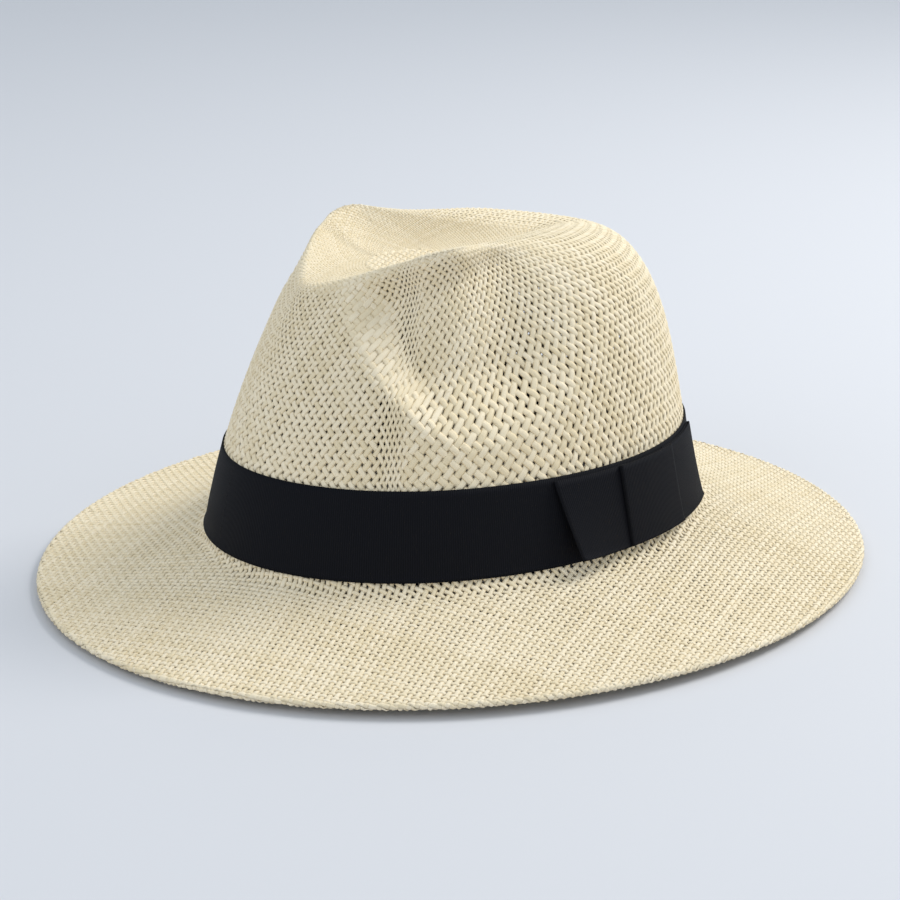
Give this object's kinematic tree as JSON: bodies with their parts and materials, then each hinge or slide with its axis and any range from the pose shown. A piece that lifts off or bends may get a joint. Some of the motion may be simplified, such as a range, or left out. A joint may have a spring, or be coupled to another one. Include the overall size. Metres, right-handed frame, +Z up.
{
  "type": "panama hat",
  "caption": "Woven straw hat with a diamond crown, pinched front, flat brim with a wired hem, dark grosgrain band, flat side bow and an inner sweatband.",
  "frame": {"origin": "on the surface that the brim rests on, under the middle of the brim", "axes": "+Z up; the front of the hat looks along -Y and the wearer's left, with the bow, is +X"},
  "size_m": [0.308, 0.35, 0.1428],
  "materials": {
    "straw": "natural woven paper straw, matt with a slight sheen",
    "ribbon": "black grosgrain with fine cross ribs",
    "sweatband": "soft black woven tape",
    "wire": "bare spring wire"
  },
  "bodies": {
    "root": {"straw_body": "straw", "brim_hem": "straw", "brim_wire": "wire", "hat_band": "ribbon", "bow_front_panel": "ribbon", "bow_middle_panel": "ribbon", "bow_rear_panel": "ribbon", "sweatband": "sweatband", "sweatband_tape": "sweatband"}
  },
  "joints": []
}
